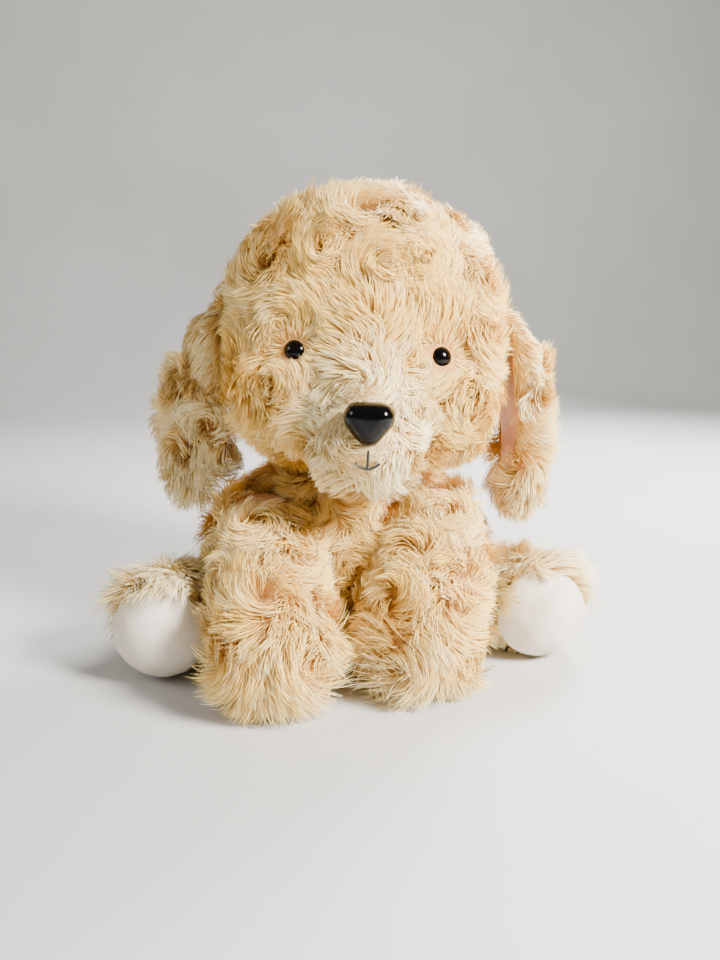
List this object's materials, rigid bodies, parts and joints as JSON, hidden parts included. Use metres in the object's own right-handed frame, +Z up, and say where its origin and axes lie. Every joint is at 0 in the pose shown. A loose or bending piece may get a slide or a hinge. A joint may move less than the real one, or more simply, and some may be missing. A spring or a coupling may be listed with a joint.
{
  "type": "plush dog",
  "caption": "Seated plush puppy with a round head, long hanging ears, stuffed legs that rest on the floor, velour soles and a short tail.",
  "frame": {"origin": "centre of the flat underside of the seat", "axes": "+Z up, -Y the way the dog faces, +X to the dog's own left"},
  "size_m": [0.238, 0.2019, 0.2334],
  "materials": {
    "fur": "long curled silky plush, golden tan",
    "pale_fur": "long curled silky plush, pale cream",
    "velour": "short-pile velour, off-white",
    "satin": "smooth satin, peach",
    "fibre": "loose polyester fibre, white",
    "black_gloss": "polished, black",
    "clear_plastic": "moulded, milky",
    "black_thread": "twisted embroidery thread, black",
    "seam_thread": "twisted sewing thread, tan",
    "pouch_cloth": "plain woven cotton, undyed",
    "label_tape": "woven ribbon, white, blank"
  },
  "bodies": {
    "body": {"chest_panel": "fur", "seat_panel": "fur", "back_panel_right": "fur", "back_panel_left": "fur", "body_filling": "fibre", "bean_pouch": "pouch_cloth", "beans": "clear_plastic", "closing_seam": "seam_thread", "care_label": "label_tape"},
    "neck": {"neck_filling": "fibre"},
    "head": {"head_side_right": "fur", "head_side_left": "fur", "head_gusset": "fur", "muzzle": "pale_fur", "head_filling": "fibre", "eye_right": "black_gloss", "eye_left": "black_gloss", "eye_washer_right": "clear_plastic", "eye_washer_left": "clear_plastic", "nose": "black_gloss", "nose_washer": "clear_plastic", "mouth_stitch": "black_thread"},
    "ear_right": {"ear_right_fur": "fur", "ear_right_lining": "satin"},
    "ear_left": {"ear_left_fur": "fur", "ear_left_lining": "satin"},
    "front_leg_right": {"front_leg_right_outer": "fur", "front_leg_right_inner": "fur", "front_leg_right_filling": "fibre"},
    "front_leg_left": {"front_leg_left_outer": "fur", "front_leg_left_inner": "fur", "front_leg_left_filling": "fibre"},
    "hind_leg_right": {"hind_leg_right_top": "fur", "hind_leg_right_bottom": "fur", "hind_leg_right_filling": "fibre", "sole_right": "velour"},
    "hind_leg_left": {"hind_leg_left_top": "fur", "hind_leg_left_bottom": "fur", "hind_leg_left_filling": "fibre", "sole_left": "velour"},
    "tail": {"tail_panel_right": "fur", "tail_panel_left": "fur", "tail_filling": "fibre"}
  },
  "joints": [
    {"name": "neck_turn", "type": "hinge", "parent": "body", "child": "neck", "pos_m": [0.00625, 0.002, 0.106], "axis": [0, 0, 1], "range_deg": [-14, 14], "stiffness_Nm_per_rad": 0.6},
    {"name": "head_nod", "type": "hinge", "parent": "neck", "child": "head", "pos_m": [0.00625, 0.002, 0.106], "axis": [1, 0, 0], "range_deg": [-10, 8], "stiffness_Nm_per_rad": 1.5},
    {"name": "ear_right_lift", "type": "hinge", "parent": "head", "child": "ear_right", "pos_m": [-0.06454, 0.0019, 0.19157], "axis": [0.0785, 0.9969, 0], "range_deg": [0, 75]},
    {"name": "ear_left_lift", "type": "hinge", "parent": "head", "child": "ear_left", "pos_m": [0.08682, -0.01001, 0.18441], "axis": [-0.0785, -0.9969, 0], "range_deg": [0, 75]},
    {"name": "front_leg_right_lift", "type": "hinge", "parent": "body", "child": "front_leg_right", "pos_m": [-0.0455, -0.033, 0.064], "axis": [-1, 0, 0], "range_deg": [0, 20], "stiffness_Nm_per_rad": 0.5},
    {"name": "front_leg_left_lift", "type": "hinge", "parent": "body", "child": "front_leg_left", "pos_m": [0.0455, -0.033, 0.064], "axis": [-1, 0, 0], "range_deg": [0, 20], "stiffness_Nm_per_rad": 0.5},
    {"name": "hind_leg_right_spread", "type": "hinge", "parent": "body", "child": "hind_leg_right", "pos_m": [-0.058, -0.006, 0.019], "axis": [0, 0, -1], "range_deg": [0, 20], "stiffness_Nm_per_rad": 0.4},
    {"name": "hind_leg_left_spread", "type": "hinge", "parent": "body", "child": "hind_leg_left", "pos_m": [0.058, -0.006, 0.019], "axis": [0, 0, 1], "range_deg": [0, 20], "stiffness_Nm_per_rad": 0.4},
    {"name": "tail_wag", "type": "hinge", "parent": "body", "child": "tail", "pos_m": [0, 0.05, 0.024], "axis": [0, 0, 1], "range_deg": [-30, 30], "stiffness_Nm_per_rad": 0.05}
  ]
}
